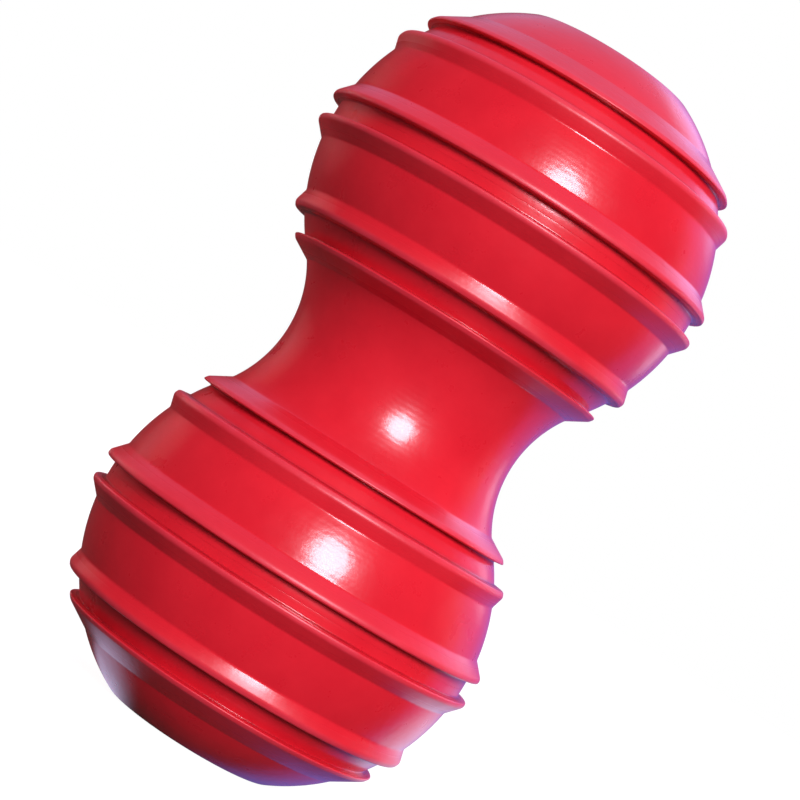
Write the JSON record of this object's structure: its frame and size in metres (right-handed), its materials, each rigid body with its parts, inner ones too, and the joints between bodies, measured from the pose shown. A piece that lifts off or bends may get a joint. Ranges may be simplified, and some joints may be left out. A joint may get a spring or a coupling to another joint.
{
  "type": "rubber chew toy",
  "caption": "Hollow two-lobed rubber chew bar, round about its long axis, with pairs of tooth-cleaning ridges, a plain waisted neck and an open flat mouth at each end.",
  "frame": {"origin": "centre of the lower flat end, on the surface it stands on", "axes": "+Z along the toy's long axis, from the lower flat end to the upper one; X and Y are equal, because the toy is round about Z"},
  "size_m": [0.0716, 0.0716, 0.13],
  "materials": {
    "red_rubber": "glossy moulded natural rubber"
  },
  "bodies": {
    "root": {"lower_end_cup": "red_rubber", "waist_section": "red_rubber", "upper_end_cup": "red_rubber"}
  },
  "joints": []
}
